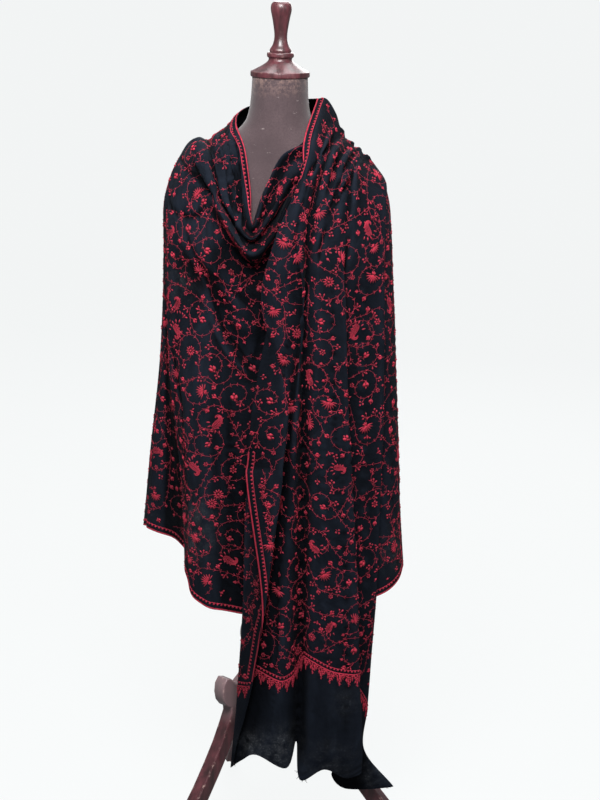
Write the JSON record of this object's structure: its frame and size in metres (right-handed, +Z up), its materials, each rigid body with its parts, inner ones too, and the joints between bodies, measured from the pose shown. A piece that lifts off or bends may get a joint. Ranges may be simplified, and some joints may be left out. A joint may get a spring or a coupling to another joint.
{
  "type": "pashmina shawl on dress form",
  "caption": "Embroidered pashmina shawl draped in a cowl over a limbless dress form on a turned wooden stand.",
  "frame": {"origin": "centre of the whole object's box on the floor it stands on", "axes": "+Z up, the wearer's front towards -Y, the wearer's left towards +X"},
  "size_m": [0.5572, 0.5228, 1.675],
  "materials": {
    "shawl_wool": "fine matt twill, near-black navy, light sheen",
    "embroidery": "crimson chain-stitch thread",
    "form_jersey": "stretched mauve-brown jersey",
    "rosewood": "dark reddish stained, semi-gloss"
  },
  "bodies": {
    "root": {"shawl_chest": "shawl_wool", "shawl_right_arm": "shawl_wool", "shawl_back": "shawl_wool", "shawl_left_arm": "shawl_wool", "shawl_front_flap": "shawl_wool", "shawl_front_panel": "shawl_wool", "shawl_front_inner": "shawl_wool", "dress_form": "form_jersey", "neck_cap": "rosewood", "finial": "rosewood", "stand_plate": "rosewood", "stand_pole": "rosewood", "stand_vase": "rosewood", "stand_hub": "rosewood", "leg_front_left": "rosewood", "leg_right": "rosewood", "leg_back": "rosewood"}
  },
  "joints": []
}
